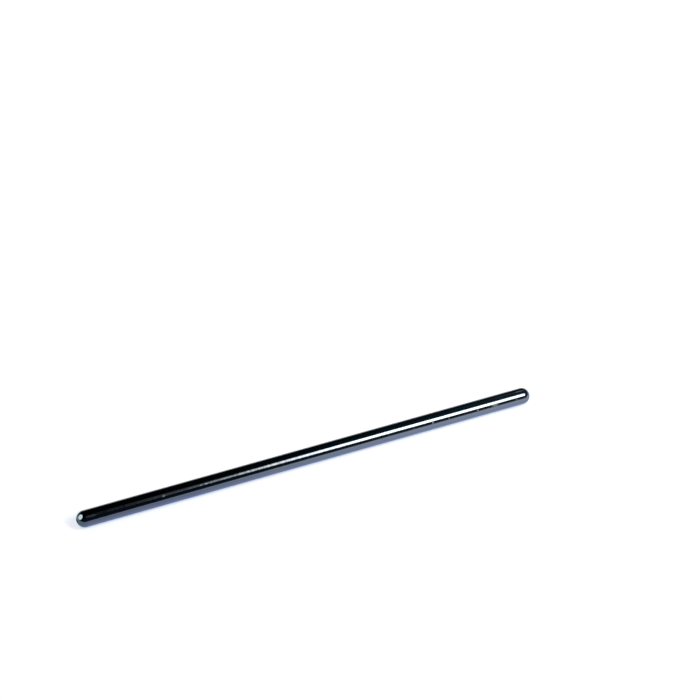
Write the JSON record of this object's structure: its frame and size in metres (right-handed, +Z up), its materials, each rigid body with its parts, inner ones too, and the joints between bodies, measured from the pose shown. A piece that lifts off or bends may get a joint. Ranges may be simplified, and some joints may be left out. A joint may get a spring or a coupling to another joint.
{
  "type": "engine pushrod",
  "caption": "Hollow steel pushrod: a straight tube with a hemispherical ball end formed at each end and an oil hole through each ball.",
  "frame": {"origin": "centre of the ball at the lifter end", "axes": "+X along the rod's axis, from the lifter-end ball towards the rocker-end ball; +Z up, with the rod lying as in the picture"},
  "size_m": [0.2317, 0.008, 0.008],
  "materials": {
    "black_oxide_steel": "polished, with a black oxide coat"
  },
  "bodies": {
    "root": {"pushrod": "black_oxide_steel"}
  },
  "joints": []
}
